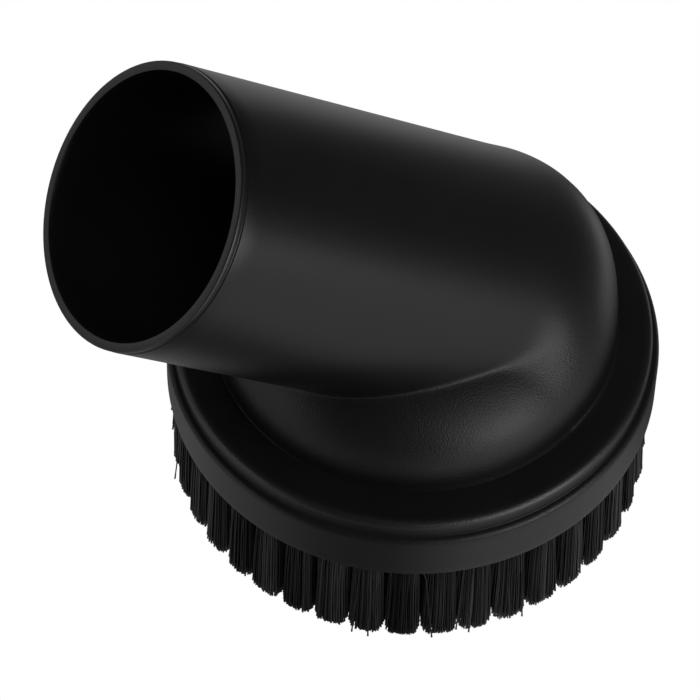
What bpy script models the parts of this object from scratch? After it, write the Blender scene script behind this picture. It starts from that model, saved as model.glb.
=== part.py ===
"""Vacuum dusting brush: a one-piece moulded nozzle with forty bristle tufts.

The nozzle is modelled about the axis of its bristle ring, with the underside of
the ring at height 0, and an empty then carries it and the tufts so that the
longest bristles stand on height 0 with the object's box centred on X and Y.
Lengths are in metres.
"""
import math

import bmesh
import bpy
import numpy as np
from mathutils import Matrix

MM = 0.001

# Ring that carries the bristles
RING_RADIUS = 34.0 * MM
BAND_HEIGHT = 8.0 * MM
BAND_ROUND = 0.9 * MM
UNDERSIDE_ROUND = 0.4 * MM
SHELF_WIDTH = 1.0 * MM
SHELF_FILLET = 0.1 * MM
STEP_HEIGHT = 2.6 * MM
STEP_ROUND = 1.1 * MM
STEP_RADIUS = RING_RADIUS - SHELF_WIDTH
PLATEAU_HEIGHT = BAND_HEIGHT + STEP_HEIGHT

# Dome on the ring, inside a flat margin
PLATEAU_WIDTH = 5.6 * MM
DOME_HEIGHT = 16.2 * MM
DOME_FULLNESS = 2.3
DOME_WALL = 2.0 * MM
DOME_RADIUS = STEP_RADIUS - PLATEAU_WIDTH

# Rounding where tube, dome and ring run together: crisp in front, soft at the back
CREASE_BLEND = 0.5 * MM
SHOULDER_BLEND = 3.0 * MM
SHOULDER_START = 0.25
FRONT_FILLET = 0.2 * MM
BACK_FILLET = 2.2 * MM

# Tube for the cleaner's wand, leaning back over the dome; its length is taken from
# the centre of its round lower end
TUBE_ANGLE = math.radians(39.8)
TUBE_LENGTH = 60.7 * MM
TUBE_RISE = 5.98 * MM
TUBE_SETBACK = 0.35 * MM
BORE_RADIUS = 17.5 * MM
BORE_TAPER = 0.4 * MM
BORE_LEAD_IN = 0.15 * MM
TUBE_WALL = 1.45 * MM
GROOVE_DEPTH = 0.2 * MM
GROOVE_WIDTH = 0.45 * MM
LIP_LENGTH = 0.6 * MM
MOUTH_ROUND = 0.15 * MM
TUBE_RADIUS = BORE_RADIUS + TUBE_WALL

# Holes for the bristle tufts
TUFT_INSET = 3.5 * MM
TUFT_PITCH = 4.8 * MM
TUFT_CLEARANCE = 0.3 * MM
HOLE_WALL = 0.89 * MM
HOLE_ROOF = 2.8 * MM
TUFT_CIRCLE_RADIUS = RING_RADIUS - TUFT_INSET
TUFT_COUNT = round(2.0 * math.pi * TUFT_CIRCLE_RADIUS / TUFT_PITCH)
TUFT_SPACING = 2.0 * math.pi * TUFT_CIRCLE_RADIUS / TUFT_COUNT
HOLE_RADIUS = 0.5 * (TUFT_SPACING - HOLE_WALL)
HOLE_DEPTH = PLATEAU_HEIGHT - HOLE_ROOF

# Bristle tufts, each folded over a flat wire anchor
BRISTLE_LENGTH = 17.2 * MM
TIP_GAP = 0.3 * MM
TIP_HALF_DEPTH = 2.4 * MM
TIP_LEAN = 0.6 * MM
TIP_RAGGED = 1.3 * MM
NECK_LENGTH = 2.0 * MM
NECK_SHARE = 0.65
NECK_LEAN_SHARE = 0.25
FLUTE_SHARE = 0.9
FLUTE_SPREAD = 0.03
ANCHOR_BITE = 0.55 * MM
ANCHOR_HEIGHT = 1.6 * MM
ANCHOR_THICKNESS = 0.5 * MM
TUFT_ROOT_RADIUS = HOLE_RADIUS - TUFT_CLEARANCE
TIP_HALF_WIDTH = 0.5 * (TUFT_SPACING - TIP_GAP)
ANCHOR_WIDTH = 2.0 * (HOLE_RADIUS + ANCHOR_BITE)

# Facets round each shape, and how far cutters run past what they cut
RING_SEGMENTS = 80
HOOD_SEGMENTS = 64
CAVITY_SEGMENTS = 48
HOLE_SEGMENTS = 10
TUFT_SEGMENTS = 12
TUFT_VARIANTS = 5
OVERRUN = 2.0 * MM

# Rows of facets, as shares of the way up the dome and then up to the straight tube
DOME_ROWS = (0.04, 0.1, 0.2, 0.36, 0.54, 0.7, 0.84, 0.95, 1.0)
TUBE_ROWS = (0.04, 0.12, 0.24, 0.4, 0.6, 0.8, 1.0)
CAVITY_DOME_ROWS = (0.0, 0.3, 0.6, 0.85, 1.0)
CAVITY_TUBE_ROWS = (0.08, 0.25, 0.5, 0.75, 1.0)
HOOD_SINK_SHARE = 0.5

# Halvings in the search along each ray, and how near it may come to the fan's hinge
HALVINGS = 36
HINGE_MARGIN = 0.999

# Colours and gloss
PLASTIC_COLOUR = (0.021, 0.021, 0.022)
PLASTIC_ROUGHNESS = 0.42
BRISTLE_COLOUR = (0.012, 0.012, 0.012)
BRISTLE_ROUGHNESS = 0.5


def material(name, colour, roughness):
    """A plain plastic-like material with the piece's own colour and gloss."""
    made = bpy.data.materials.new(name)
    made.use_nodes = True
    shader = made.node_tree.nodes["Principled BSDF"]
    shader.inputs["Base Color"].default_value = (*colour, 1.0)
    shader.inputs["Roughness"].default_value = roughness
    shader.inputs["Metallic"].default_value = 0.0
    return made


def add_object(name, mesh, carrier=None):
    thing = bpy.data.objects.new(name, mesh)
    bpy.context.collection.objects.link(thing)
    thing.parent = carrier
    return thing


def add_cutter(name, mesh, carrier):
    """A guide shape that only Boolean modifiers use."""
    cutter = add_object(name, mesh, carrier)
    cutter.hide_render = True
    cutter.display_type = "WIRE"
    return cutter


def add_boolean(thing, cutter, operation):
    step = thing.modifiers.new(cutter.name, "BOOLEAN")
    step.operation = operation
    step.object = cutter
    step.solver = "EXACT"


def lofted(name, rings):
    """A closed skin through equal rings of points, with a flat face on each end."""
    bm = bmesh.new()
    loops = [[bm.verts.new(point) for point in ring] for ring in rings]
    for lower, upper in zip(loops, loops[1:]):
        for i, corner in enumerate(lower):
            j = (i + 1) % len(lower)
            bm.faces.new((corner, lower[j], upper[j], upper[i]))
    bm.faces.new(reversed(loops[0]))
    bm.faces.new(loops[-1])
    bmesh.ops.recalc_face_normals(bm, faces=bm.faces)
    mesh = bpy.data.meshes.new(name)
    bm.to_mesh(mesh)
    bm.free()
    return mesh


def turned(name, profile, faces):
    """A solid of revolution from (radius, height) points, bottom to top."""
    angles = np.linspace(0.0, 2.0 * math.pi, faces, endpoint=False)
    circle = np.stack([np.cos(angles), np.sin(angles)], axis=1)
    rings = []
    for radius, height in profile:
        ring = np.full((faces, 3), height)
        ring[:, :2] = radius * circle
        rings.append(ring)
    return lofted(name, rings)


def arc(centre_radius, centre_height, radius, start, end, steps):
    """Points of an arc in the (radius, height) plane, angles in degrees."""
    points = []
    for i in range(steps + 1):
        angle = math.radians(start + (end - start) * i / steps)
        points.append((centre_radius + radius * math.cos(angle),
                       centre_height + radius * math.sin(angle)))
    return points


# The tube's own directions, in the vertical plane that halves the object
TUBE_AXIS = np.array([-math.cos(TUBE_ANGLE), 0.0, math.sin(TUBE_ANGLE)])
TUBE_UP = np.array([math.sin(TUBE_ANGLE), 0.0, math.cos(TUBE_ANGLE)])
ACROSS = np.array([0.0, 1.0, 0.0])
PLATEAU_CENTRE = np.array([0.0, 0.0, PLATEAU_HEIGHT])
TUBE_START = PLATEAU_CENTRE + np.array([DOME_RADIUS - TUBE_SETBACK - TUBE_RADIUS, 0.0, TUBE_RISE])


def tube_distance(points, radius):
    """Distance outside a tube that ends low down in half a ball."""
    offset = points - TUBE_START
    along = np.maximum(offset @ TUBE_AXIS, 0.0)
    return np.linalg.norm(offset - along[..., None] * TUBE_AXIS, axis=-1) - radius


def dome_distance(points, radius, height):
    """How far outside the dome, a full-shouldered round cap on the plateau."""
    reach = np.hypot(points[..., 0], points[..., 1]) / radius
    rise = np.abs(points[..., 2] - PLATEAU_HEIGHT) / height
    fullness = (reach ** DOME_FULLNESS + rise ** DOME_FULLNESS) ** (1.0 / DOME_FULLNESS)
    return (fullness - 1.0) * min(radius, height)


def blended(first, second, width):
    """The nearer of two distances, rounded where they meet over a width."""
    share = np.clip(0.5 + 0.5 * (second - first) / width, 0.0, 1.0)
    return second * (1.0 - share) + first * share - width * share * (1.0 - share)


def shoulder_share(points):
    """0 in front of the ring's axis and 1 at the back, where the crease fades out."""
    share = np.clip(SHOULDER_START + points[..., 0] / RING_RADIUS, 0.0, 1.0)
    return share * share * (3.0 - 2.0 * share)


def hood_parts(points, inset):
    """Distances outside the tube and outside the dome, less a wall."""
    tube_radius = TUBE_RADIUS if inset == 0.0 else BORE_RADIUS - BORE_TAPER
    tube = tube_distance(points, tube_radius)
    dome = dome_distance(points, DOME_RADIUS - inset, DOME_HEIGHT - inset)
    return tube, dome


def hood_distance(points, inset):
    """Distance outside the hood, with tube and dome run together."""
    width = CREASE_BLEND + (SHOULDER_BLEND - CREASE_BLEND) * shoulder_share(points)
    return blended(*hood_parts(points, inset), width)


def hood_on_plateau(points):
    """The hood's outside with the fillet that widens towards the back."""
    width = FRONT_FILLET + (BACK_FILLET - FRONT_FILLET) * shoulder_share(points)
    above = points[..., 2] - PLATEAU_HEIGHT
    return blended(hood_distance(points, 0.0), above, width)


def cavity(points):
    return hood_distance(points, DOME_WALL)


# The hood is drawn through planes that fan out from a line just in front of the
# dome, from the plateau's plane up to the plane where the straight tube begins.
DUAL_FULLNESS = DOME_FULLNESS / (DOME_FULLNESS - 1.0)
DOME_REACH = ((DOME_RADIUS * math.cos(TUBE_ANGLE)) ** DUAL_FULLNESS
              + (DOME_HEIGHT * math.sin(TUBE_ANGLE)) ** DUAL_FULLNESS) ** (1.0 / DUAL_FULLNESS)
STRAIGHT_START = (PLATEAU_CENTRE - TUBE_START) @ TUBE_AXIS + DOME_REACH + SHOULDER_BLEND
JOIN_CENTRE = TUBE_START + STRAIGHT_START * TUBE_AXIS
HINGE_DROP = (JOIN_CENTRE[2] - PLATEAU_HEIGHT) / math.cos(TUBE_ANGLE)
HINGE = JOIN_CENTRE - HINGE_DROP * TUBE_UP
FAN_ANGLE = math.pi / 2.0 - TUBE_ANGLE


def fan_points(shares, angles, distance):
    """Where rays in the fan's planes leave a surface; share 0 is the plateau's plane."""
    tilts = FAN_ANGLE * shares
    outward = np.stack([np.cos(tilts), np.zeros_like(tilts), np.sin(tilts)], axis=1)
    centre_reach = -HINGE[0] + (HINGE_DROP + HINGE[0]) * shares
    centres = HINGE + centre_reach[:, None] * outward
    rays = np.cos(angles)[:, None] * outward + np.sin(angles)[:, None] * ACROSS
    near = np.zeros(len(angles))
    short_of_hinge = HINGE_MARGIN * centre_reach / np.maximum(-np.cos(angles), 1e-6)
    far = np.minimum(2.0 * RING_RADIUS, short_of_hinge)
    for _ in range(HALVINGS):
        middle = 0.5 * (near + far)
        outside = distance(centres + middle[:, None] * rays) > 0.0
        far = np.where(outside, middle, far)
        near = np.where(outside, near, middle)
    return centres + near[:, None] * rays


def crease_shares(angles, inset):
    """For each ray, how far up the fan the dome gives way to the tube."""
    low = np.zeros(len(angles))
    high = np.ones(len(angles))
    for _ in range(HALVINGS):
        middle = 0.5 * (low + high)
        points = fan_points(middle, angles, lambda p: np.minimum(*hood_parts(p, inset)))
        tube, dome = hood_parts(points, inset)
        on_dome = tube > dome
        low = np.where(on_dome, middle, low)
        high = np.where(on_dome, high, middle)
    return 0.5 * (low + high)


def fan_rings(faces, distance, inset, dome_steps, tube_steps):
    """Sections of a surface whose rows run along its crease, from ring to tube."""
    angles = np.linspace(0.0, 2.0 * math.pi, faces, endpoint=False)
    crease = crease_shares(angles, inset)
    rings = [fan_points(crease * step, angles, distance) for step in dome_steps]
    rings += [fan_points(crease + (1.0 - crease) * step, angles, distance)
              for step in tube_steps]
    return rings


def tube_ring(along, radius, faces):
    """A circle square to the tube, at a length from the centre of its round end."""
    angles = np.linspace(0.0, 2.0 * math.pi, faces, endpoint=False)
    circle = np.cos(angles)[:, None] * TUBE_UP + np.sin(angles)[:, None] * ACROSS
    return TUBE_START + along * TUBE_AXIS + radius * circle


def hood_mesh():
    """Outside of the dome and tube, sunk into the ring below."""
    rings = fan_rings(HOOD_SEGMENTS, hood_on_plateau, 0.0, DOME_ROWS, TUBE_ROWS)
    sunk = rings[0].copy()
    sunk[:, 2] = HOOD_SINK_SHARE * PLATEAU_HEIGHT
    rings.insert(0, sunk)
    lip_start = TUBE_LENGTH - LIP_LENGTH
    groove_radius = TUBE_RADIUS - GROOVE_DEPTH
    rings.append(tube_ring(lip_start - GROOVE_WIDTH, TUBE_RADIUS, HOOD_SEGMENTS))
    rings.append(tube_ring(lip_start - 0.5 * GROOVE_WIDTH, groove_radius, HOOD_SEGMENTS))
    rings.append(tube_ring(lip_start, TUBE_RADIUS, HOOD_SEGMENTS))
    rings.append(tube_ring(TUBE_LENGTH - MOUTH_ROUND, TUBE_RADIUS, HOOD_SEGMENTS))
    rings.append(tube_ring(TUBE_LENGTH, TUBE_RADIUS - MOUTH_ROUND, HOOD_SEGMENTS))
    return lofted("hood", rings)


def ring_mesh():
    """The stepped ring: underside, outer band, narrow shelf, step and plateau."""
    profile = [(RING_RADIUS - UNDERSIDE_ROUND, 0.0), (RING_RADIUS, UNDERSIDE_ROUND)]
    profile += arc(RING_RADIUS - BAND_ROUND, BAND_HEIGHT - BAND_ROUND, BAND_ROUND, 0, 75, 3)
    profile.append((STEP_RADIUS + SHELF_FILLET, BAND_HEIGHT + SHELF_FILLET))
    profile += arc(STEP_RADIUS - STEP_ROUND, PLATEAU_HEIGHT - STEP_ROUND, STEP_ROUND, 0, 90, 3)
    return turned("ring", profile, RING_SEGMENTS)


def cavity_mesh():
    """Everything that is hollow: opening in the ring, dome and tapered bore."""
    rings = fan_rings(CAVITY_SEGMENTS, cavity, DOME_WALL, CAVITY_DOME_ROWS, CAVITY_TUBE_ROWS)
    below = rings[0].copy()
    below[:, 2] = -OVERRUN
    rings.insert(0, below)
    rings.append(tube_ring(TUBE_LENGTH - 2.0 * BORE_LEAD_IN, BORE_RADIUS, CAVITY_SEGMENTS))
    rings.append(tube_ring(TUBE_LENGTH, BORE_RADIUS + BORE_LEAD_IN, CAVITY_SEGMENTS))
    rings.append(tube_ring(TUBE_LENGTH + OVERRUN, BORE_RADIUS + BORE_LEAD_IN, CAVITY_SEGMENTS))
    return lofted("cavity", rings)


def tuft_angle(index):
    return 2.0 * math.pi * (index + 0.5) / TUFT_COUNT


def tuft_place(index):
    """The frame of one tuft: X outwards, Y along the ring, at the underside."""
    out = Matrix.Translation((TUFT_CIRCLE_RADIUS, 0.0, 0.0))
    return Matrix.Rotation(tuft_angle(index), 4, "Z") @ out


def joined_copies(name, mesh, places):
    """One mesh that holds a copy of another at each place."""
    bm = bmesh.new()
    for place in places:
        start = len(bm.verts)
        bm.from_mesh(mesh)
        bm.verts.ensure_lookup_table()
        bmesh.ops.transform(bm, matrix=place, verts=bm.verts[start:])
    copies = bpy.data.meshes.new(name)
    bm.to_mesh(copies)
    bm.free()
    return copies


def box_mesh(name, size, centre):
    bm = bmesh.new()
    place = Matrix.Translation(centre) @ Matrix.Diagonal((*size, 1.0))
    bmesh.ops.create_cube(bm, size=1.0, matrix=place)
    mesh = bpy.data.meshes.new(name)
    bm.to_mesh(mesh)
    bm.free()
    return mesh


def tuft_places():
    return [tuft_place(index) for index in range(TUFT_COUNT)]


def hole_mesh():
    """The blind holes, one for each tuft."""
    one = turned("hole", [(HOLE_RADIUS, -OVERRUN), (HOLE_RADIUS, HOLE_DEPTH)], HOLE_SEGMENTS)
    return joined_copies("holes", one, tuft_places())


def anchor_centre():
    return HOLE_DEPTH - 2.0 * TUFT_CLEARANCE - 0.5 * ANCHOR_HEIGHT


def anchor_slot_mesh():
    """The bites that the anchors' ends make in the walls of the holes."""
    room = 2.0 * TUFT_CLEARANCE
    size = (ANCHOR_WIDTH + room, ANCHOR_THICKNESS + room, ANCHOR_HEIGHT + room)
    one = box_mesh("slot", size, (0.0, 0.0, anchor_centre()))
    return joined_copies("slots", one, tuft_places())


def bundle_mesh(variant):
    """A bundle of bristles: round in its hole, fluted and flared to ragged tips."""
    random = np.random.default_rng(variant + 1)
    angles = np.linspace(0.0, 2.0 * math.pi, TUFT_SEGMENTS, endpoint=False)
    flute = np.where(np.arange(TUFT_SEGMENTS) % 2 == 0, FLUTE_SHARE, 1.0)
    flute = flute * random.uniform(1.0 - FLUTE_SPREAD, 1.0, TUFT_SEGMENTS)
    ragged = random.uniform(0.0, 1.0, TUFT_SEGMENTS) ** 2
    ragged[variant % TUFT_SEGMENTS] = 0.0
    root = TUFT_ROOT_RADIUS
    neck_depth = root + NECK_SHARE * (TIP_HALF_DEPTH - root)
    neck_width = root + NECK_SHARE * (TIP_HALF_WIDTH - root)
    levels = [
        (HOLE_DEPTH - TUFT_CLEARANCE, root, root, 0.0, 0.0),
        (0.0, root, root, 0.0, 0.0),
        (-NECK_LENGTH, neck_depth, neck_width, NECK_LEAN_SHARE * TIP_LEAN, 1.0),
        (-BRISTLE_LENGTH, TIP_HALF_DEPTH, TIP_HALF_WIDTH, TIP_LEAN, 1.0),
    ]
    rings = []
    for height, depth, width, lean, fluted in levels:
        swell = 1.0 + (flute - 1.0) * fluted
        ring = np.zeros((TUFT_SEGMENTS, 3))
        ring[:, 0] = lean + depth * swell * np.cos(angles)
        ring[:, 1] = width * swell * np.sin(angles)
        ring[:, 2] = height
        rings.append(ring)
    rings[-1][:, 2] += TIP_RAGGED * ragged
    rings.reverse()
    return lofted("bundle", rings)


def tuft_mesh(variant, anchor):
    """A bundle joined to its anchor, as one closed body."""
    bundle = add_object("bundle", bundle_mesh(variant))
    add_boolean(bundle, anchor, "UNION")
    depsgraph = bpy.context.evaluated_depsgraph_get()
    mesh = bpy.data.meshes.new_from_object(bundle.evaluated_get(depsgraph))
    mesh.name = f"tuft_{variant}"
    bpy.data.objects.remove(bundle)
    return mesh


def build_nozzle(carrier, plastic):
    """Dome, tube and ring in one moulding, hollow right through."""
    nozzle = add_object("nozzle_body", hood_mesh(), carrier)
    add_boolean(nozzle, add_cutter("ring_form", ring_mesh(), carrier), "UNION")
    add_boolean(nozzle, add_cutter("cavity_form", cavity_mesh(), carrier), "DIFFERENCE")
    add_boolean(nozzle, add_cutter("hole_form", hole_mesh(), carrier), "DIFFERENCE")
    add_boolean(nozzle, add_cutter("slot_form", anchor_slot_mesh(), carrier), "DIFFERENCE")
    nozzle.data.materials.append(plastic)


def build_tufts(carrier, bristle):
    """The tufts, each seated in its hole with a running clearance."""
    size = (ANCHOR_WIDTH, ANCHOR_THICKNESS, ANCHOR_HEIGHT)
    anchor = add_cutter("anchor_form", box_mesh("anchor", size, (0.0, 0.0, anchor_centre())), None)
    meshes = [tuft_mesh(variant, anchor) for variant in range(TUFT_VARIANTS)]
    for mesh in meshes:
        mesh.materials.clear()
        mesh.materials.append(bristle)
    for index, place in enumerate(tuft_places()):
        tuft = add_object(f"tuft_{index + 1:02d}", meshes[(3 * index) % TUFT_VARIANTS], carrier)
        tuft.location = place.to_translation()
        tuft.rotation_euler = (0.0, 0.0, tuft_angle(index))
    bpy.data.objects.remove(anchor)


def main():
    for thing in list(bpy.data.objects):
        bpy.data.objects.remove(thing)
    plastic = material("black_moulded_plastic", PLASTIC_COLOUR, PLASTIC_ROUGHNESS)
    bristle = material("black_bristle", BRISTLE_COLOUR, BRISTLE_ROUGHNESS)
    mouth = TUBE_START + TUBE_LENGTH * TUBE_AXIS
    front = min((mouth - (TUBE_RADIUS - MOUTH_ROUND) * TUBE_UP)[0],
                (mouth - MOUTH_ROUND * TUBE_AXIS - TUBE_RADIUS * TUBE_UP)[0])
    carrier = bpy.data.objects.new("ring_axis", None)
    bpy.context.collection.objects.link(carrier)
    carrier.location = (-0.5 * (front + RING_RADIUS), 0.0, BRISTLE_LENGTH)
    build_nozzle(carrier, plastic)
    build_tufts(carrier, bristle)


main()
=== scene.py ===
import math

import bpy
import bmesh
import numpy as np
from mathutils import Matrix, Vector


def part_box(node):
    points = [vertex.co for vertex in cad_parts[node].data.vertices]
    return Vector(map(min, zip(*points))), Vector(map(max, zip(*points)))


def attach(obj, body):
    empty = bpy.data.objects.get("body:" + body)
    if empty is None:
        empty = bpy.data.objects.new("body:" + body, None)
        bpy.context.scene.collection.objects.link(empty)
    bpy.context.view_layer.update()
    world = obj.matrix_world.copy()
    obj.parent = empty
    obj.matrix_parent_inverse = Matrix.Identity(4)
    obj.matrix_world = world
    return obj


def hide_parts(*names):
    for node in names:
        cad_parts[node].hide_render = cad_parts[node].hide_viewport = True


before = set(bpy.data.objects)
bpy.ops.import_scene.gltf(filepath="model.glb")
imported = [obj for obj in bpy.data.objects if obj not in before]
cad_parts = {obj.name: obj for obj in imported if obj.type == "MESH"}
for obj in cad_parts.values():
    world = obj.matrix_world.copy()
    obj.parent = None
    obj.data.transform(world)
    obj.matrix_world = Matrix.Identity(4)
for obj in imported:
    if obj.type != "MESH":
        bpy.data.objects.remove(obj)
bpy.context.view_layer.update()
mm = 0.001
turn = 2.0 * math.pi


def linearColour(hexText):
    # sRGB hex to the linear values that shader sockets take
    parts = [int(hexText[i:i + 2], 16) / 255.0 for i in (1, 3, 5)]
    linear = [c / 12.92 if c <= 0.04045 else ((c + 0.055) / 1.055) ** 2.4 for c in parts]
    return (*linear, 1.0)


def addNode(owner, kind, settings=None, links=None):
    # one shader node: settings are its properties or unlinked inputs, links feed its inputs
    tree = owner.node_tree
    node = tree.nodes.new(kind)
    for name, value in (settings or {}).items():
        if isinstance(name, str) and hasattr(node, name):
            setattr(node, name, value)
        else:
            node.inputs[name].default_value = value
    for name, source in (links or {}).items():
        tree.links.new(source, node.inputs[name])
    return node


def newMaterial(name):
    material = bpy.data.materials.new(name)
    material.use_nodes = True
    material.node_tree.nodes.clear()
    return material


def addPiece(name, points, faces, material, body="root"):
    mesh = bpy.data.meshes.new(name)
    mesh.from_pydata(points, [], faces)
    mesh.update()
    piece = bpy.data.objects.new(name, mesh)
    bpy.context.scene.collection.objects.link(piece)
    mesh.materials.append(material)
    if body:
        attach(piece, body)
    return piece


def storeValues(piece, name, values):
    # one number for each vertex, for the piece's material to read
    attribute = piece.data.attributes.new(name, "FLOAT", "POINT")
    attribute.data.foreach_set("value", values.astype(np.float32))


def direction(azimuth, elevation):
    # from the brush outwards: azimuth 0 is the camera's side (-Y), 90 is +X
    a, e = math.radians(azimuth), math.radians(elevation)
    return Vector((math.sin(a) * math.cos(e), -math.cos(a) * math.cos(e), math.sin(e)))


# Blind holes in the ring's underside, one for each tuft. Sizes in mm.
holes = {"count": 40, "circleRadius": 30.5, "radius": 1.95, "depth": 7.8}
# Nozzle body: one moulding, hollow right through. Sizes in mm. The four shines are the shader's
# specular levels: most where rubbing polishes an edge, least in the dusty bore.
nozzle = {
    "ringRadius": 34.0, "bandHeight": 8.0, "bandRound": 0.9, "undersideRound": 0.4,
    "stepRadius": 33.0, "stepRound": 1.1, "plateauHeight": 10.6, "shelfFillet": 0.12,
    "domeRadius": 27.4, "domeHeight": 16.2, "domeFullness": 2.3, "domeWall": 2.0,
    "creaseBlend": 0.5, "shoulderBlend": 3.0, "shoulderFrom": 3.0, "shoulderTo": 27.0,
    "sideBlend": 2.8, "sideFrom": 3.0, "sideTo": 28.0,
    "baseFillet": 0.8, "baseFilletLeast": 0.1,
    "tubeAngle": math.radians(39.8), "tubeFoot": 28.0, "tubeLength": 86.6, "tubeRoundEnd": 25.9,
    "tubeFullness": 2.3, "tubeEndShare": 0.975,
    "boreRadius": 17.5, "boreTaper": 0.4, "leadIn": 0.15, "leadInLength": 0.8, "tubeWall": 1.45,
    "lipLength": 0.6, "lipDrop": 0.05, "grooveDepth": 0.16, "grooveWidth": 0.45,
    "mouthRound": 0.2, "innerRound": 0.12, "edgeRound": 0.12,
    "tubeShine": 0.5, "domeShine": 0.57, "edgeShine": 1.0, "boreShine": 0.15,
}

nodeLow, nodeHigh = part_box("nozzle_body")
ringX = nodeHigh.x / mm - nozzle["ringRadius"]
undersideZ = nodeLow.z / mm
ringPlace = np.array([ringX, 0.0, undersideZ])

tubeAxis = np.array([-math.cos(nozzle["tubeAngle"]), 0.0, math.sin(nozzle["tubeAngle"])])
tubeUp = np.array([math.sin(nozzle["tubeAngle"]), 0.0, math.cos(nozzle["tubeAngle"])])
across = np.array([0.0, 1.0, 0.0])
tubeBase = np.array([nozzle["tubeFoot"], 0.0, 0.0])
tubeRadius = nozzle["boreRadius"] + nozzle["tubeWall"]
plateau = nozzle["plateauHeight"]
domeInside = nozzle["domeRadius"] - nozzle["domeWall"]

# planes fan out from a line in front of the dome, from the plateau to where the tube is straight
domeReach = math.hypot(nozzle["domeRadius"] * tubeAxis[0], nozzle["domeHeight"] * tubeAxis[2])
straightStart = (-nozzle["tubeFoot"] * tubeAxis[0] + plateau * tubeAxis[2]
                 + domeReach + nozzle["domeWall"])
joinCentre = tubeBase + straightStart * tubeAxis
hingeDrop = (joinCentre[2] - plateau) / tubeUp[2]
hinge = joinCentre - hingeDrop * tubeUp
fanAngle = math.pi / 2.0 - nozzle["tubeAngle"]

# the grid that the nozzle is made of: eight columns to a tuft, of which the square that a hole
# takes has six, and rows that crowd at the crease. A step is a share of the way along the fan,
# up to the crease or on from it
columnsPerTuft, holeCells = 8, 6
columns = holes["count"] * columnsPerTuft
angles = np.arange(columns) * turn / columns
plateauSteps = (0.9, 0.75, 0.6, 0.48, 0.38, 0.29, 0.21, 0.14, 0.08, 0.03)
domeSteps = np.concatenate([np.linspace(0.05, 0.9, 22), [0.94, 0.965, 0.982, 0.992, 1.0]])
tubeSteps = np.concatenate([[0.004, 0.01, 0.02, 0.035, 0.055], np.linspace(0.08, 1.0, 24)])
domeStepsInside = np.concatenate([np.linspace(0.0, 0.88, 10), [0.94, 0.98, 1.0]])
tubeStepsInside = np.concatenate([[0.02, 0.06], np.linspace(0.12, 0.93, 11)])
# how often each search for a surface halves its span
fanHalvings, creaseHalvings, plateauHalvings = 40, 26, 34


def tubeDistance(points, radius):
    # (reach^n + overrun^n)^(1/n) - radius: a tube whose end is a little fuller than a half ball
    n = nozzle["tubeFullness"]
    offset = points - tubeBase
    along = offset @ tubeAxis
    reach = np.linalg.norm(offset - along[..., None] * tubeAxis, axis=-1)
    overrun = np.maximum(nozzle["tubeRoundEnd"] - along, 0.0) / nozzle["tubeEndShare"]
    return (reach ** n + overrun ** n) ** (1.0 / n) - radius


def domeDistance(points, radius, height):
    # ((reach / radius)^n + (rise / height)^n)^(1/n) - 1, in mm: a cap fuller than an ellipse
    n = nozzle["domeFullness"]
    reach = np.hypot(points[..., 0], points[..., 1]) / radius
    rise = np.abs(points[..., 2] - plateau) / height
    return ((reach ** n + rise ** n) ** (1.0 / n) - 1.0) * min(radius, height)


def blended(first, second, width):
    # the smaller of two distances less width / 4 * (1 - |difference| / (1.5 width))^3: a round
    # whose curvature starts and ends at zero, so that its highlight has no hard edge
    closeness = np.clip(1.0 - np.abs(first - second) / (1.5 * width), 0.0, 1.0)
    return np.minimum(first, second) - 0.25 * width * closeness ** 3


def shareAlongX(points, start, end):
    return np.clip((points[..., 0] - start) / (end - start), 0.0, 1.0)


def shoulderShare(points):
    # smooth step 3 s^2 - 2 s^3 along X: 0 in front, 1 at the back
    share = shareAlongX(points, nozzle["shoulderFrom"], nozzle["shoulderTo"])
    return share * share * (3.0 - 2.0 * share)


def sideShare(points):
    # sin^2 bump along X: the join between crease and shoulder
    return np.sin(math.pi * shareAlongX(points, nozzle["sideFrom"], nozzle["sideTo"])) ** 2


def hoodParts(points, inset):
    # distances from the tube and from the dome: their outsides, or their insides at an inset
    radius = tubeRadius if inset == 0.0 else nozzle["boreRadius"] - nozzle["boreTaper"]
    dome = domeDistance(points, nozzle["domeRadius"] - inset, nozzle["domeHeight"] - inset)
    return tubeDistance(points, radius), dome


def hoodDistance(points, inset):
    # tube and dome run together: a crisp crease in front, softer at the side and at the back
    spread = nozzle["shoulderBlend"] - nozzle["creaseBlend"]
    width = nozzle["creaseBlend"] + spread * shoulderShare(points)
    width = width + nozzle["sideBlend"] * sideShare(points)
    return blended(*hoodParts(points, inset), width)


def hoodOnPlateau(points):
    # the hood's outside, with a fillet on the plateau that widens towards the back
    width = nozzle["baseFilletLeast"] + nozzle["baseFillet"] * shoulderShare(points)
    return blended(hoodDistance(points, 0.0), points[..., 2] - plateau, width)


def fanPoints(shares, distance):
    # bisection along each ray of a fan plane for the place where the distance turns positive; a
    # ray that runs towards the hinge stops just short of it
    tilts = fanAngle * shares
    outward = np.stack([np.cos(tilts), 0.0 * tilts, np.sin(tilts)], axis=1)
    centreReach = -hinge[0] + (hingeDrop + hinge[0]) * shares
    centres = hinge + centreReach[:, None] * outward
    rays = np.cos(angles)[:, None] * outward + np.sin(angles)[:, None] * across
    near = np.zeros(columns)
    far = np.minimum(2.0 * nozzle["ringRadius"],
                     0.999 * centreReach / np.maximum(-np.cos(angles), 1e-6))
    for _ in range(fanHalvings):
        middle = 0.5 * (near + far)
        outside = distance(centres + middle[:, None] * rays) > 0.0
        far = np.where(outside, middle, far)
        near = np.where(outside, near, middle)
    return centres + near[:, None] * rays


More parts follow.
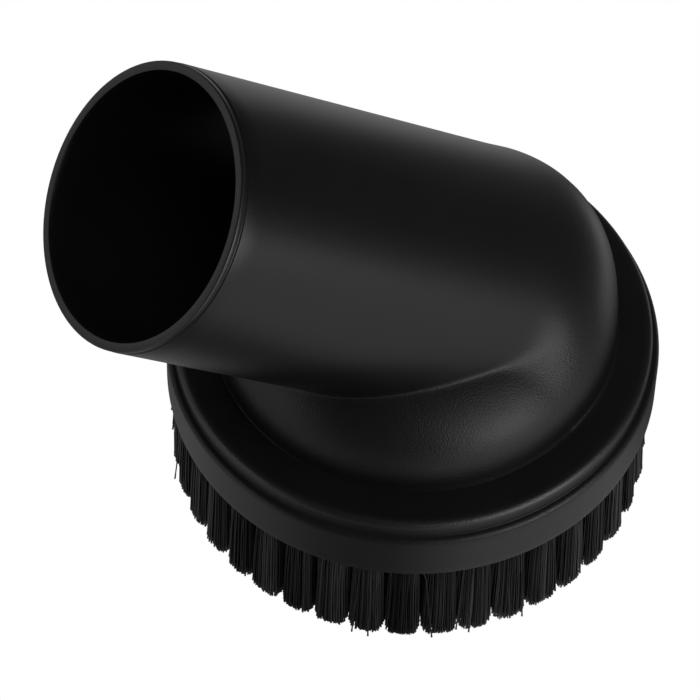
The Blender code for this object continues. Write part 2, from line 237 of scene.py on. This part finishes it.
def creaseShares(inset):
    # for each ray, how far up the fan the dome gives way to the tube
    low, high = np.zeros(columns), np.ones(columns)
    for _ in range(creaseHalvings):
        middle = 0.5 * (low + high)
        points = fanPoints(middle, lambda p: np.minimum(*hoodParts(p, inset)))
        tube, dome = hoodParts(points, inset)
        low = np.where(tube > dome, middle, low)
        high = np.where(tube > dome, high, middle)
    return 0.5 * (low + high)


def fanRows(distance, inset, stepsBelow, stepsAbove):
    crease = creaseShares(inset)
    rows = [fanPoints(crease * step, distance) for step in stepsBelow]
    return rows + [fanPoints(crease + (1.0 - crease) * step, distance) for step in stepsAbove]


def tubeRow(along, radius):
    circle = np.cos(angles)[:, None] * tubeUp + np.sin(angles)[:, None] * across
    return tubeBase + along * tubeAxis + radius * circle


def turnedRow(radius, height):
    # a circle about the ring's axis; the radius may differ from column to column
    radius = np.broadcast_to(radius, (columns,))
    height = np.broadcast_to(height, (columns,))
    return np.stack([radius * np.cos(angles), radius * np.sin(angles), height], axis=1)


def arcSteps(centreA, centreB, radius, start, end, count):
    # points of an arc, angles in degrees
    sweep = np.radians(np.linspace(start, end, count))
    return [(centreA + radius * math.cos(a), centreB + radius * math.sin(a)) for a in sweep]


def plateauRow(radius):
    # lifts a circle on the plateau to the fillet's surface by bisection on height
    highestLift = 4.0
    low = np.full(columns, plateau)
    high = np.full(columns, plateau + highestLift)
    for _ in range(plateauHalvings):
        middle = 0.5 * (low + high)
        inside = hoodOnPlateau(turnedRow(radius, middle)) < 0.0
        low = np.where(inside, middle, low)
        high = np.where(inside, high, middle)
    return turnedRow(radius, low)


def ringRows():
    # the stepped ring's outside, from its underside up to the plateau's edge
    n = nozzle
    under, band, fillet, edge = (n[name] for name in ("undersideRound", "bandRound",
                                                      "shelfFillet", "stepRound"))
    bandStart, shelfRise = 1.2, 0.02
    profile = arcSteps(n["ringRadius"] - under, under, under, -90, 0, 5)
    profile += [(n["ringRadius"], h)
                for h in np.linspace(under + bandStart, n["bandHeight"] - band, 5)]
    profile += arcSteps(n["ringRadius"] - band, n["bandHeight"] - band, band, 12, 78, 7)
    shelfHeight = n["bandHeight"] + shelfRise
    profile += arcSteps(n["stepRadius"] + fillet, shelfHeight + fillet, fillet, 270, 180, 5)
    profile += arcSteps(n["stepRadius"] - edge, plateau - edge, edge, 0, 90, 10)
    return [turnedRow(r, h) for r, h in profile]


def hoodRows():
    # plateau, fillet, dome, crease and tube up to where it is straight
    rows = fanRows(hoodOnPlateau, 0.0, domeSteps, tubeSteps)
    foot = np.hypot(rows[0][:, 0], rows[0][:, 1])
    edge = nozzle["stepRadius"] - nozzle["stepRound"]
    return [plateauRow(foot + (edge - foot) * step) for step in plateauSteps] + rows


def mouthRows():
    # along the straight tube, over the groove, round the lip and down the tapered bore; marks
    # are the rows at which the lip starts, the lip ends and the bore starts
    n = nozzle
    end, e, r, i = n["tubeLength"], n["edgeRound"], n["mouthRound"], n["innerRound"]
    lipFoot = end - n["lipLength"]
    groove = lipFoot - n["grooveWidth"]
    lip, bottom = tubeRadius - n["lipDrop"], tubeRadius - n["grooveDepth"]
    profile = [(along, tubeRadius) for along in np.linspace(straightStart, groove - e, 12)[1:]]
    profile += arcSteps(groove - e, tubeRadius - e, e, 60, 10, 4)
    # the groove's near flank, its bottom and its far flank, with eased corners
    profile += [(groove + 0.07, bottom + 0.02), (groove + 0.14, bottom)]
    profile += [(lipFoot - 0.1, bottom), (lipFoot - 0.03, lip - 0.04), (lipFoot + 0.04, lip)]
    marks = [len(profile)]
    profile += arcSteps(end - r, lip - r, r, 90, 0, 6)
    inner = n["boreRadius"] + n["leadIn"]
    profile += arcSteps(end - i, inner + i, i, 0, -90, 5)
    marks.append(len(profile) - 1)
    profile += [(end - 0.45, n["boreRadius"] + 0.03), (end - n["leadInLength"], n["boreRadius"])]
    marks.append(len(profile))
    firstBoreRow = 4.0
    bore = np.linspace(end - firstBoreRow, straightStart, 9)
    depth = (end - bore) / (end - straightStart)
    profile += [(a, n["boreRadius"] - n["boreTaper"] * d) for a, d in zip(bore, depth)]
    return [tubeRow(along, radius) for along, radius in profile], marks


def cavityRows():
    # inside of the tube's round end and the dome, down through the ring
    wall, under = nozzle["domeWall"], nozzle["undersideRound"]
    rows = fanRows(lambda p: hoodDistance(p, wall), wall, domeStepsInside, tubeStepsInside)
    rows.reverse()
    rows += [turnedRow(domeInside, h) for h in np.linspace(plateau, under, 8)[1:]]
    profile = arcSteps(domeInside + under, under, under, 202.5, 270, 4)
    return rows + [turnedRow(r, h) for r, h in profile]


def undersideRows():
    # flat rows across the ring's underside: those inside the holes, those past them and one more
    inner = domeInside + nozzle["undersideRound"]
    before = [inner + 0.9, inner + 1.8]
    past = np.linspace(-1.0, 1.0, holeCells + 1) * holes["radius"] + holes["circleRadius"]
    radii = [*before, *past, past[-1] + 0.45]
    return [turnedRow(r, 0.0) for r in radii], len(before)


def gridFaces(rowCount, firstHoleRow):
    # quads of a grid that is closed both ways, without the squares that the holes take
    r = np.arange(rowCount)[:, None]
    c = np.arange(columns)[None, :]
    nextRow, nextColumn = (r + 1) % rowCount, (c + 1) % columns
    quads = np.stack([r * columns + c, r * columns + nextColumn,
                      nextRow * columns + nextColumn, nextRow * columns + c], axis=-1)
    place = np.arange(columns) % columnsPerTuft
    keep = np.ones((rowCount, columns), bool)
    keep[firstHoleRow:firstHoleRow + holeCells, (place >= 1) & (place <= holeCells)] = False
    return quads[keep].tolist()


def holeLoop(firstHoleRow, tuft):
    # vertex indices round the square of grid cells that one hole takes, and their row and column
    left, last = tuft * columnsPerTuft + 1, holeCells
    steps = [(0, c) for c in range(last)] + [(r, last) for r in range(last)]
    steps += [(last, last - c) for c in range(last)] + [(last - r, 0) for r in range(last)]
    return [(firstHoleRow + r) * columns + (left + c) % columns for r, c in steps], steps


def sinkHoles(vertices, faces, firstHoleRow):
    # moves the edge of each square onto its hole's rim, and adds the hole's wall and flat end
    extra = []
    nextIndex = len(vertices)
    for tuft in range(holes["count"]):
        loop, steps = holeLoop(firstHoleRow, tuft)
        middle = turn * (tuft + 0.5) / holes["count"]
        out = np.array([math.cos(middle), math.sin(middle), 0.0])
        side = np.array([-math.sin(middle), math.cos(middle), 0.0])
        square = np.array(steps, float) / (0.5 * holeCells) - 1.0
        bearing = np.arctan2(square[:, 1], square[:, 0])
        circle = np.cos(bearing)[:, None] * out + np.sin(bearing)[:, None] * side
        rim = holes["circleRadius"] * out + holes["radius"] * circle
        vertices[loop] = rim
        previous = loop
        for height in (0.5 * holes["depth"], holes["depth"]):
            extra.append(rim + np.array([0.0, 0.0, height]))
            level = list(range(nextIndex, nextIndex + len(loop)))
            nextIndex += len(loop)
            for i in range(len(loop)):
                j = (i + 1) % len(loop)
                faces.append([previous[i], previous[j], level[j], level[i]])
            previous = level
        faces.append(previous)
    return np.concatenate([vertices, *extra])


def rowFinish(rowCount, ringCount, hoodCount, mouthMarks, underStart):
    # for each row, how coarse the grain is: 1 on ring and dome, falling to 0 up the tube, 0 inside
    fadeRows = 9
    tubeStart = ringCount + hoodCount - len(tubeSteps)
    coarse = np.zeros(rowCount)
    coarse[:tubeStart] = 1.0
    coarse[tubeStart:tubeStart + fadeRows] = np.linspace(1.0, 0.0, fadeRows + 2)[1:-1]
    # and how strongly it mirrors: most on the step's edge and the mouth's lip, a little more on
    # the coarse grain than on the tube, least in the bore
    edgeRows, edgeFade = 9, 0.3
    tube, edge = nozzle["tubeShine"], nozzle["edgeShine"]
    shine = tube + (nozzle["domeShine"] - tube) * coarse
    crest = np.sin(np.linspace(edgeFade, math.pi - edgeFade, edgeRows))
    shine[ringCount - edgeRows:ringCount] += (edge - tube) * crest
    lipStart, lipEnd, boreStart = (ringCount + hoodCount + mark for mark in mouthMarks)
    shine[lipStart:lipEnd] = edge
    shine[boreStart:underStart] = nozzle["boreShine"]
    return coarse, shine


def buildNozzle(material):
    # one grid, closed both ways: up the outside to the mouth, back down the inside and across
    # the underside
    sharpAngle = 50
    under, rowsBeforeHoles = undersideRows()
    ring, hood = ringRows(), hoodRows()
    mouth, mouthMarks = mouthRows()
    rows = ring + hood + mouth + cavityRows()
    underStart = len(rows)
    rows += under
    firstHoleRow = underStart + rowsBeforeHoles
    faces = gridFaces(len(rows), firstHoleRow)
    vertices = sinkHoles(np.array(rows).reshape(-1, 3), faces, firstHoleRow)
    vertices = (vertices + ringPlace) * mm
    piece = addPiece("nozzle_moulding", vertices.tolist(), faces, material)
    coarse, shine = rowFinish(len(rows), len(ring), len(hood), mouthMarks, underStart)
    for name, rowValues in (("coarse", coarse), ("shine", shine)):
        values = np.zeros(len(vertices))
        values[:len(rows) * columns] = np.repeat(rowValues, columns)
        storeValues(piece, name, values)
    bm = bmesh.new()
    bm.from_mesh(piece.data)
    loose = [v for v in bm.verts if not v.link_faces]
    bmesh.ops.delete(bm, geom=loose, context="VERTS")
    bmesh.ops.recalc_face_normals(bm, faces=bm.faces)
    bm.to_mesh(piece.data)
    bm.free()
    piece.data.shade_smooth()
    piece.data.set_sharp_from_angle(angle=math.radians(sharpAngle))
    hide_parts("nozzle_body")
    print("nozzle:", len(piece.data.polygons), "faces")


# Bristle tufts: bundles of single filaments in the nozzle's holes. Sizes in mm. Depth, and the
# first number of a pair, run outwards from the ring's axis; width, and the second, round the ring.
tufts = {
    "rootRadius": 1.62, "length": 17.2, "filaments": 320, "filamentRadius": 0.115, "sides": 3,
    "tipHalfWidth": 2.42, "tipHalfDepth": 2.45, "tipSquareness": 2.6, "tipLean": 0.6,
    "neck": 2.8, "neckShare": 0.56, "neckPower": 0.8, "anchorTop": 6.4,
    "ragged": 0.04, "shortShare": 0.02, "shortBy": 0.6, "clumps": 11, "clumping": 0.10,
    "wander": 0.06, "bow": 0.08, "strayShare": 0.01, "strayReach": 1.1, "reachLimit": 3.35,
    "cornerTrim": 1.0, "cornerReach": 1.2, "tipThickness": 1.35,
    "clumpTone": 0.8, "ownTone": 0.2, "seed": 7,
    "crossingTuft": 27, "crossingRoot": [1.0, 1.4], "crossingTip": [3.2, 4.1], "crossingCut": 0.8,
}
# where a filament's levels are between its neck and its tip
freeLevels = np.array([[0.3, 0.62, 0.9, 1.0]])


def filamentSpots(random):
    # sunflower packing: the k-th filament sits at sqrt(k / count) of the radius, 0.618 turns on
    t = tufts
    count, n = t["filaments"], t["tipSquareness"]
    order = np.arange(count) + 0.5
    reach = np.sqrt(order / count)
    bearing = order * turn * 0.618034 + random.uniform(0, turn)
    spot = np.stack([reach * np.cos(bearing), reach * np.sin(bearing)])
    # tips fill a squarer patch than the root and gather a little in clumps
    squarer = (np.abs(spot[0]) ** n + np.abs(spot[1]) ** n) ** (1 / n)
    tip = spot * np.sqrt(np.maximum(reach / np.maximum(squarer, 1e-6), 1.0))
    centres = tip[:, random.choice(count, t["clumps"], replace=False)]
    gaps = np.hypot(*(tip[:, :, None] - centres[:, None, :]))
    clump = np.argmin(gaps, axis=1)
    tip += t["clumping"] * (centres[:, clump] - tip)
    # the trim rounds off towards the tuft's corners, with the fourth power of the way out
    corner = t["cornerTrim"] * np.clip(np.abs(tip).max(axis=0), 0.0, t["cornerReach"]) ** 4
    tip *= np.array([[t["tipHalfDepth"]], [t["tipHalfWidth"]]])
    tip += random.normal(0.0, t["wander"], (2, count)) + np.array([[t["tipLean"]], [0.0]])
    stray = random.uniform(0, 1, count) < t["strayShare"]
    tip += np.where(stray, random.normal(0, t["strayReach"], (2, count)), 0.0)
    tip[0] = np.clip(tip[0], -t["reachLimit"], t["reachLimit"])
    # wider outwards, so that neighbours keep touching all the way out
    tip[1] *= 1.0 + tip[0] / holes["circleRadius"]
    return t["rootRadius"] * spot, tip, clump, corner


def filamentCuts(random, corner):
    # how much shorter than the longest each filament is
    t = tufts
    count = t["filaments"]
    cut = np.abs(random.normal(0.0, t["ragged"], count))
    cut += np.where(random.uniform(0, 1, count) < t["shortShare"],
                    t["shortBy"] * random.uniform(0, 1, count), 0.0)
    cut += corner
    return cut - cut.min()


def filamentPaths(random, root, tip, cut):
    # each filament: straight in its hole, spreads fast at the neck, then runs on to its own tip
    t = tufts
    count, neck = t["filaments"], t["neck"]
    length = (t["length"] - cut)[:, None]
    # depth below the ring's underside at each level; the first level is up in the hole
    held = np.repeat([[-t["anchorTop"], 0.0, 0.5 * neck, neck]], count, axis=0)
    depths = np.concatenate([held, neck + (length - neck) * freeLevels], axis=1)
    below = np.clip(depths, 0.0, None)
    neckPart = np.clip(below / neck, 0.0, 1.0)
    rest = np.clip((below - neck) / (length - neck), 0.0, 1.0)
    spread = t["neckShare"] * neckPart ** t["neckPower"] + (1.0 - t["neckShare"]) * rest
    bend = random.normal(0.0, t["bow"], (2, count, 1)) * 4.0 * rest * (1.0 - rest)
    sideways = root[:, :, None] + (tip - root)[:, :, None] * spread + bend
    return np.stack([sideways[0], sideways[1], -depths], axis=-1)


def sweptFilaments(random, path):
    # a prism along each path, thicker at its cut end; also how many points one filament has
    count, levels = path.shape[:2]
    sides = tufts["sides"]
    thickness = np.array([1.0] * (levels - 1) + [tufts["tipThickness"]])
    thickness = tufts["filamentRadius"] * thickness
    around = random.uniform(0, turn, count)[:, None] + np.arange(sides) * turn / sides
    ring = np.stack([np.cos(around), np.sin(around), 0.0 * around], axis=-1)
    points = path[:, :, None, :] + thickness[None, :, None, None] * ring[:, None]
    perStrand = levels * sides
    strand = np.arange(count)[:, None, None] * perStrand
    level = np.arange(levels - 1)[None, :, None] * sides
    side = np.arange(sides)[None, None, :]
    after = (side + 1) % sides
    quads = np.stack([strand + level + side, strand + level + sides + side,
                      strand + level + sides + after, strand + level + after], axis=-1)
    heldEnds = np.arange(count)[:, None] * perStrand + np.arange(sides)[None, :]
    cutEnds = heldEnds + (levels - 1) * sides
    faces = quads.reshape(-1, 4).tolist() + heldEnds.tolist() + cutEnds[:, ::-1].tolist()
    return points.reshape(-1, 3), faces, perStrand


def buildTuft(index, material):
    t = tufts
    random = np.random.default_rng(t["seed"] + index)
    root, tip, clump, corner = filamentSpots(random)
    cut = filamentCuts(random, corner)
    if index == t["crossingTuft"]:
        # the one long bristle that crosses its neighbour, as photographed
        root[:, -1], tip[:, -1], cut[-1] = t["crossingRoot"], t["crossingTip"], t["crossingCut"]
    points, faces, perStrand = sweptFilaments(random, filamentPaths(random, root, tip, cut))
    middle = turn * (index + 0.5) / holes["count"]
    out = holes["circleRadius"] + points[:, 0]
    x = out * math.cos(middle) - points[:, 1] * math.sin(middle)
    y = out * math.sin(middle) + points[:, 1] * math.cos(middle)
    placed = (np.stack([x, y, points[:, 2]], axis=1) + ringPlace) * mm
    piece = addPiece(f"bristles_{index + 1:02d}", placed.tolist(), faces, material)
    # a filament's tone is mostly its clump's and a little its own
    tone = t["clumpTone"] * random.uniform(0, 1, t["clumps"])[clump]
    tone = tone + t["ownTone"] * random.uniform(0, 1, t["filaments"])
    storeValues(piece, "tone", np.repeat(tone, perStrand))
    piece.data.shade_smooth()
    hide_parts(f"tuft_{index + 1:02d}")


def mouldedPlastic():
    # black ABS, moulded in a spark-eroded tool: an even grain that breaks up the highlights into
    # a soft sparkle, coarse on dome and ring and almost smooth on the tube. The real grain is
    # about 0.1 mm; it is drawn at 0.21 mm, the finest that shows in the render. Faint clouds
    # about 11 mm across vary the black, as its pigment does
    look = {"grainPitch": 0.21, "cloudsPerMetre": 90.0, "dark": "#181819", "light": "#1c1c1d",
            "tubeRoughness": 0.31, "domeRoughness": 0.36, "tubeGrain": 0.015, "domeGrain": 0.05,
            "ior": 1.5}
    material = newMaterial("sparkErodedBlackAbs")
    place = addNode(material, "ShaderNodeTexCoord").outputs["Object"]
    grain = addNode(material, "ShaderNodeTexNoise",
                    {"Scale": 1.0 / (look["grainPitch"] * mm), "Detail": 1.0, "Roughness": 0.5},
                    {"Vector": place}).outputs["Fac"]
    cloud = addNode(material, "ShaderNodeTexNoise",
                    {"Scale": look["cloudsPerMetre"], "Detail": 2.0},
                    {"Vector": place}).outputs["Fac"]
    coarse = addNode(material, "ShaderNodeAttribute", {"attribute_name": "coarse"}).outputs["Fac"]
    gloss = addNode(material, "ShaderNodeMapRange", {"To Min": look["tubeRoughness"],
                    "To Max": look["domeRoughness"]}, {"Value": coarse}).outputs["Result"]
    depth = addNode(material, "ShaderNodeMapRange", {"To Min": look["tubeGrain"] * mm,
                    "To Max": look["domeGrain"] * mm}, {"Value": coarse}).outputs["Result"]
    colour = addNode(material, "ShaderNodeValToRGB", {}, {"Fac": cloud})
    colour.color_ramp.elements[0].position = 0.3
    colour.color_ramp.elements[1].position = 0.7
    colour.color_ramp.elements[0].color = linearColour(look["dark"])
    colour.color_ramp.elements[1].color = linearColour(look["light"])
    bump = addNode(material, "ShaderNodeBump",
                   {"Strength": 1.0}, {"Height": grain, "Distance": depth}).outputs["Normal"]
    shine = addNode(material, "ShaderNodeAttribute", {"attribute_name": "shine"}).outputs["Fac"]
    shader = addNode(material, "ShaderNodeBsdfPrincipled", {"IOR": look["ior"]},
                     {"Base Color": colour.outputs["Color"], "Roughness": gloss, "Normal": bump,
                      "Specular IOR Level": shine})
    addNode(material, "ShaderNodeOutputMaterial", {}, {"Surface": shader.outputs["BSDF"]})
    return material


def bristleFibre():
    # black polypropylene filament, extruded: smooth along its length, each strand its own tone,
    # so that a tuft shows streaks of black and grey
    look = {"dark": "#121212", "light": "#4a4a4a", "roughness": 0.4, "ior": 1.49}
    material = newMaterial("extrudedBlackFilament")
    tone = addNode(material, "ShaderNodeAttribute", {"attribute_name": "tone"}).outputs["Fac"]
    colour = addNode(material, "ShaderNodeValToRGB", {}, {"Fac": tone})
    colour.color_ramp.elements[0].position = 0.2
    colour.color_ramp.elements[1].position = 0.9
    colour.color_ramp.elements[0].color = linearColour(look["dark"])
    colour.color_ramp.elements[1].color = linearColour(look["light"])
    shader = addNode(material, "ShaderNodeBsdfPrincipled",
                     {"IOR": look["ior"], "Roughness": look["roughness"]},
                     {"Base Color": colour.outputs["Color"]})
    addNode(material, "ShaderNodeOutputMaterial", {}, {"Surface": shader.outputs["BSDF"]})
    return material


def streak(material, bearing, centre, reach):
    # a painted reflection of a softbox on the table: 1 towards the softbox's azimuth, falling
    # smoothly to 0 at the given reach, in degrees
    fullShare = 0.35
    off = addNode(material, "ShaderNodeMath", {"operation": "SUBTRACT", 1: math.radians(centre)},
                  {0: bearing})
    wrapped = addNode(material, "ShaderNodeMath",
                      {"operation": "WRAP", 1: math.pi, 2: -math.pi}, {0: off.outputs[0]})
    size = addNode(material, "ShaderNodeMath", {"operation": "ABSOLUTE"}, {0: wrapped.outputs[0]})
    return addNode(material, "ShaderNodeMapRange",
                   {"interpolation_type": "SMOOTHSTEP", "From Min": math.radians(reach),
                    "From Max": math.radians(fullShare * reach)},
                   {"Value": size.outputs[0]}).outputs["Result"]


def floorFinish():
    # white acrylic table: the camera sees it plain white outside the brush's footprint and in
    # true shadow under it. Glossy rays see no lit table but painted light: a dim glow with painted
    # reflections of the softboxes as streaks and painted pools of light, all dimmed beside the
    # brush by a painted shadow.
    # A streak has an azimuth and a reach in degrees, and a strength. A pool also begins and ends
    # at a distance from the brush, in metres like the other lengths
    look = {"acrylic": "#e6e6e6", "glow": 0.14, "footprint": 0.0305, "edge": 0.001,
            "streaks": [(23, 54, 0.40), (-84, 44, 0.15), (160, 35, 0.30)],
            "pools": [(98, 31, 0.50, 0.062, 0.140), (-125, 75, 0.12, 0.010, 0.090)],
            "poolFade": 0.026, "paintedShadowFrom": 0.030, "paintedShadowTo": 0.110, "paintedShadowShare": 0.60}
    material = newMaterial("whiteAcrylicPaintedGlow")
    path = addNode(material, "ShaderNodeLightPath")
    place = addNode(material, "ShaderNodeNewGeometry")
    spot = addNode(material, "ShaderNodeVectorMath", {"operation": "SUBTRACT",
                   1: (ringX * mm, 0.0, 0.0)}, {0: place.outputs["Position"]})
    reach = addNode(material, "ShaderNodeVectorMath", {"operation": "LENGTH"},
                    {0: spot.outputs["Vector"]}).outputs["Value"]
    outside = addNode(material, "ShaderNodeMapRange",
                      {"From Min": look["footprint"] - look["edge"],
                       "From Max": look["footprint"]}, {"Value": reach})
    white = addNode(material, "ShaderNodeMath", {"operation": "MULTIPLY"},
                    {0: path.outputs["Is Camera Ray"], 1: outside.outputs["Result"]})
    sheet = addNode(material, "ShaderNodeBsdfDiffuse", {"Color": linearColour(look["acrylic"])})
    # azimuth as in direction: 0 is the camera's side (-Y), 90 is +X
    apart = addNode(material, "ShaderNodeSeparateXYZ", {}, {0: spot.outputs["Vector"]})
    ahead = addNode(material, "ShaderNodeMath", {"operation": "MULTIPLY", 1: -1.0},
                    {0: apart.outputs["Y"]})
    bearing = addNode(material, "ShaderNodeMath", {"operation": "ARCTAN2"},
                      {0: apart.outputs["X"], 1: ahead.outputs[0]}).outputs[0]
    # painted light: for glossy rays the table is an emission, starting from a dim base level
    glow = addNode(material, "ShaderNodeValue").outputs[0]
    glow.default_value = look["glow"]
    # painted reflections of the softboxes, one streak for each
    for centre, width, strength in look["streaks"]:
        glow = addNode(material, "ShaderNodeMath", {"operation": "MULTIPLY_ADD", 1: strength},
                       {0: streak(material, bearing, centre, width), 2: glow}).outputs[0]
    # painted pools of light, each between two distances from the brush
    for centre, width, strength, start, end in look["pools"]:
        begun = addNode(material, "ShaderNodeMapRange",
                        {"From Min": start, "From Max": start + look["poolFade"],
                         "To Max": strength}, {"Value": reach}).outputs["Result"]
        ended = addNode(material, "ShaderNodeMapRange",
                        {"From Min": end, "From Max": end - look["poolFade"]},
                        {"Value": reach}).outputs["Result"]
        pool = addNode(material, "ShaderNodeMath", {"operation": "MULTIPLY"},
                       {0: begun, 1: ended}).outputs[0]
        glow = addNode(material, "ShaderNodeMath", {"operation": "MULTIPLY_ADD"},
                       {0: streak(material, bearing, centre, width), 1: pool,
                        2: glow}).outputs[0]
    # painted shadow: the glow falls to a share of itself towards the brush, where the brush would
    # shade the table
    dim = addNode(material, "ShaderNodeMapRange",
                  {"From Min": look["paintedShadowFrom"], "From Max": look["paintedShadowTo"],
                   "To Min": look["paintedShadowShare"]}, {"Value": reach})
    glow = addNode(material, "ShaderNodeMath", {"operation": "MULTIPLY"},
                   {0: glow, 1: dim.outputs["Result"]}).outputs[0]
    # glossy rays see this painted glow instead of the lit table
    gloss = addNode(material, "ShaderNodeEmission", {}, {"Strength": glow})
    lit = addNode(material, "ShaderNodeMixShader", {},
                  {0: path.outputs["Is Glossy Ray"], 1: sheet.outputs["BSDF"],
                   2: gloss.outputs["Emission"]})
    plain = addNode(material, "ShaderNodeEmission")
    front = addNode(material, "ShaderNodeMixShader", {},
                    {0: white.outputs[0], 1: lit.outputs["Shader"], 2: plain.outputs["Emission"]})
    clear = addNode(material, "ShaderNodeBsdfTransparent")
    both = addNode(material, "ShaderNodeMixShader", {},
                   {0: place.outputs["Backfacing"], 1: front.outputs["Shader"],
                    2: clear.outputs["BSDF"]})
    addNode(material, "ShaderNodeOutputMaterial", {}, {"Surface": both.outputs["Shader"]})
    return material


def buildFloor():
    half = 4.0
    points = [(-half, -half, 0.0), (half, -half, 0.0), (half, half, 0.0), (-half, half, 0.0)]
    floor = addPiece("floor", points, [(0, 1, 2, 3)], floorFinish(), body=None)


def addSoftbox(name, azimuth, elevation, distance, width, height, radiance, mirrored):
    # its power follows from the radiance that it should show; one that isn't mirrored lights the
    # floor and the matt part of a surface only
    aimHeight = 0.035
    aim = Vector((ringX * mm, 0.0, aimHeight))
    back = direction(azimuth, elevation)
    lamp = bpy.data.lights.new(name, "AREA")
    lamp.shape = "RECTANGLE"
    lamp.size, lamp.size_y = width, height
    lamp.energy = radiance * math.pi * width * height
    thing = bpy.data.objects.new(name, lamp)
    bpy.context.scene.collection.objects.link(thing)
    facing = back.to_track_quat("Z", "Y").to_matrix().to_4x4()
    thing.matrix_world = Matrix.Translation(aim + back * distance) @ facing
    thing.visible_glossy = mirrored


def lightScene():
    # azimuth and elevation in degrees, distance, width and height in metres, radiance, mirrored
    softboxes = {
        "softbox_right": (28, 10, 0.8, 0.50, 0.32, 1.65, True),
        "softbox_high": (25, 24, 0.85, 0.80, 0.66, 0.72, True),
        "softbox_left": (-91, 9, 0.8, 0.40, 0.40, 0.56, True),
        "softbox_behind": (-130, 8, 0.8, 0.40, 0.44, 0.32, True),
        "softbox_back": (180, 12, 0.8, 1.00, 0.44, 0.25, True),
        "softbox_top": (-30, 80, 0.9, 0.50, 0.50, 2.0, False),
    }
    for name, settings in softboxes.items():
        addSoftbox(name, *settings)
    # the camera sees white all round, everything else a dim room
    room = 0.035
    world = bpy.data.worlds.new("studio")
    world.use_nodes = True
    world.node_tree.nodes.clear()
    path = addNode(world, "ShaderNodeLightPath")
    dim = addNode(world, "ShaderNodeBackground", {"Color": (room, room, room, 1.0)})
    white = addNode(world, "ShaderNodeBackground", {"Color": (1.0, 1.0, 1.0, 1.0)})
    mix = addNode(world, "ShaderNodeMixShader", {},
                  {0: path.outputs["Is Camera Ray"], 1: dim.outputs[0], 2: white.outputs[0]})
    addNode(world, "ShaderNodeOutputWorld", {}, {"Surface": mix.outputs[0]})
    bpy.context.scene.world = world


def placeCamera():
    # the photograph's view: aim is off the ring's centre by so much right and up, in mm
    look = {"azimuth": -21.76, "elevation": 55.26, "roll": 1.46, "distance": 626.65,
            "aimRight": -8.534, "aimUp": 2.438, "lens": 231.43, "sensor": 36.0}
    a, r = math.radians(look["azimuth"]), math.radians(look["roll"])
    back = direction(look["azimuth"], look["elevation"])
    levelRight = Vector((math.cos(a), math.sin(a), 0.0))
    levelUp = back.cross(levelRight)
    right = math.cos(r) * levelRight + math.sin(r) * levelUp
    up = -math.sin(r) * levelRight + math.cos(r) * levelUp
    aim = Vector(ringPlace) + look["aimRight"] * right + look["aimUp"] * up
    camera = bpy.data.cameras.new("camera")
    camera.lens, camera.sensor_width = look["lens"], look["sensor"]
    camera.clip_start, camera.clip_end = 0.01, 20.0
    thing = bpy.data.objects.new("camera", camera)
    bpy.context.scene.collection.objects.link(thing)
    turned = Matrix((right, up, back)).transposed().to_4x4()
    thing.matrix_world = Matrix.Translation((aim + look["distance"] * back) * mm) @ turned
    bpy.context.scene.camera = thing


placeCamera()
print("camera placed")
buildNozzle(mouldedPlastic())
fibre = bristleFibre()
for tuftIndex in range(holes["count"]):
    buildTuft(tuftIndex, fibre)
print("bristles:", holes["count"], "tufts of", tufts["filaments"])
buildFloor()
lightScene()
bpy.context.scene.view_settings.view_transform = "Standard"
print("stage lit")
